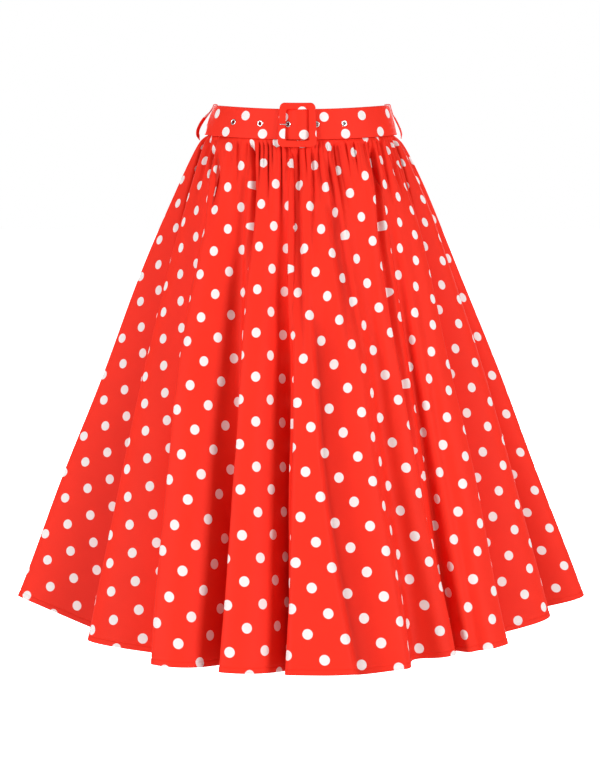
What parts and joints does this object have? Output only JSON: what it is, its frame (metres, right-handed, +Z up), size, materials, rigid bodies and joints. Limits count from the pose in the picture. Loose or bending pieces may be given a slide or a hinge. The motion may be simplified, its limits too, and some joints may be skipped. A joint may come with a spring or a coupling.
{
  "type": "circle skirt",
  "caption": "Full circle skirt in spotted cotton, gathered into a waistband under a wide belt with a covered buckle, with a concealed zip at the back.",
  "frame": {"origin": "centre of the waist opening, half way up the waistband", "axes": "+Z up along the wearer's body, -Y to the front where the buckle is, +X to the viewer's right"},
  "size_m": [0.7962, 0.6989, 0.7198],
  "materials": {
    "skirt_cloth": "matte cotton sateen, red with white spots",
    "waistband_cloth": "matte cotton sateen over stiffening",
    "belt_cloth": "matte cotton sateen over a stiff core",
    "buckle_cover": "cloth stretched over a moulded frame",
    "silver_metal": "polished nickel plate",
    "pull_metal": "polished nickel plate",
    "slider_paint": "red enamel",
    "zip_tape": "woven polyester tape"
  },
  "bodies": {
    "skirt": {"skirt_front": "skirt_cloth", "skirt_side_left": "skirt_cloth", "skirt_side_right": "skirt_cloth", "skirt_back_left": "skirt_cloth", "skirt_back_right": "skirt_cloth", "waistband": "waistband_cloth", "belt": "belt_cloth", "belt_loop_left": "belt_cloth", "belt_loop_right": "belt_cloth", "buckle_frame": "buckle_cover", "buckle_prong": "silver_metal", "eyelet_1": "silver_metal", "eyelet_2": "silver_metal", "eyelet_3": "silver_metal", "eyelet_4": "silver_metal", "eyelet_5": "silver_metal", "zip_tape": "zip_tape", "zip_slider": "slider_paint"},
    "zip_pull_body": {"zip_pull": "pull_metal"}
  },
  "joints": [
    {"name": "zip_pull_hinge", "type": "hinge", "parent": "skirt", "child": "zip_pull_body", "pos_m": [0, 0.10592, -0.03559], "axis": [1, 0, 0], "range_deg": [0, 115]}
  ]
}
